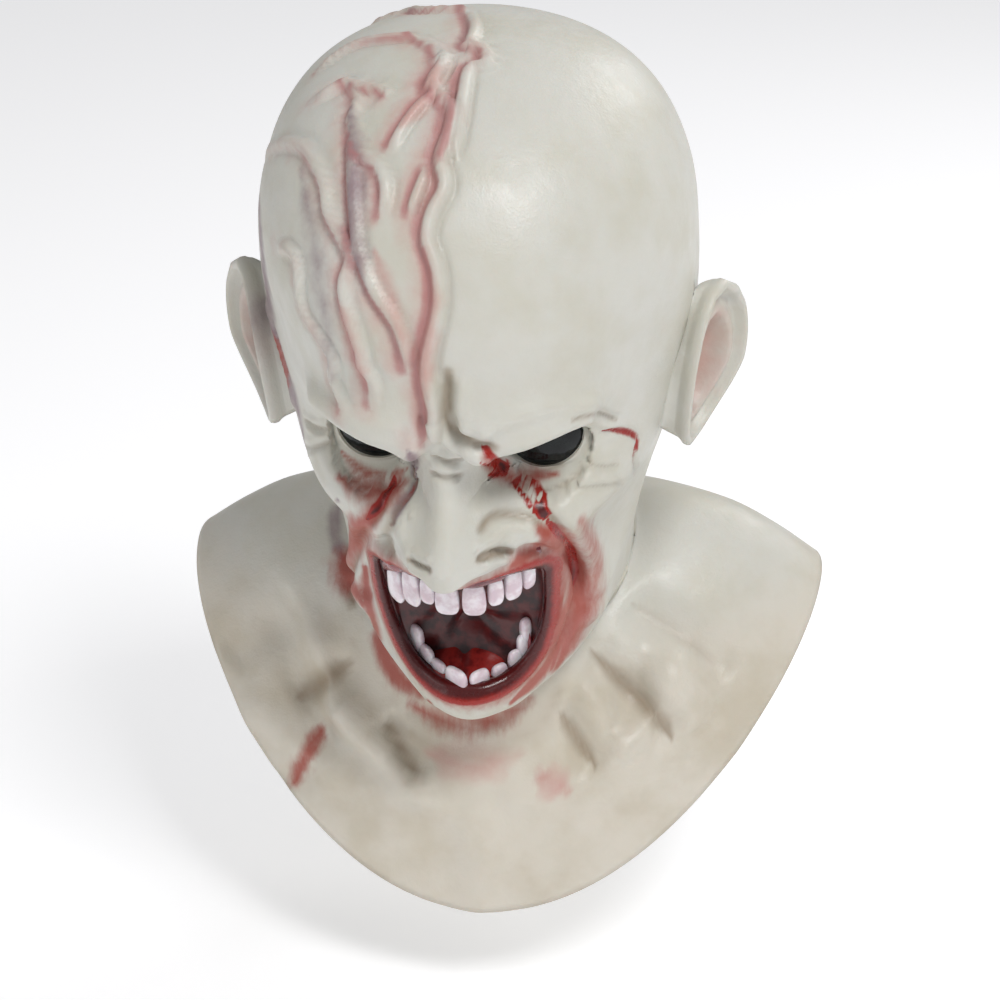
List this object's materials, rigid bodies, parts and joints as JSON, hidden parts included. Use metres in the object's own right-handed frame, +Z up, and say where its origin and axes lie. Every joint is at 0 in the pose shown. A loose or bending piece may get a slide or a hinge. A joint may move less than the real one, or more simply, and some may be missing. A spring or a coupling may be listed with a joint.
{
  "type": "full-head zombie mask with neck and chest bib",
  "caption": "Hollow moulded full-head undead mask with neck and chest bib, standing ears, black eye lenses and an open toothed mouth.",
  "frame": {"origin": "highest place on the inside of the crown, where the wearer's head carries the mask", "axes": "+Z up, face towards -Y, +X to the right of someone who looks at the face"},
  "size_m": [0.3, 0.277, 0.4217],
  "materials": {
    "latex": "satin latex, painted with pink veins and blood",
    "lens": "polished black",
    "mouth_red": "wet-look dark red latex",
    "tooth": "glossy pale enamel",
    "tongue": "wet-look red latex"
  },
  "bodies": {
    "root": {"latex_skin": "latex", "left_eye_lens": "lens", "right_eye_lens": "lens", "mouth_lining": "mouth_red", "upper_teeth": "tooth", "lower_teeth": "tooth", "tongue": "tongue"}
  },
  "joints": []
}
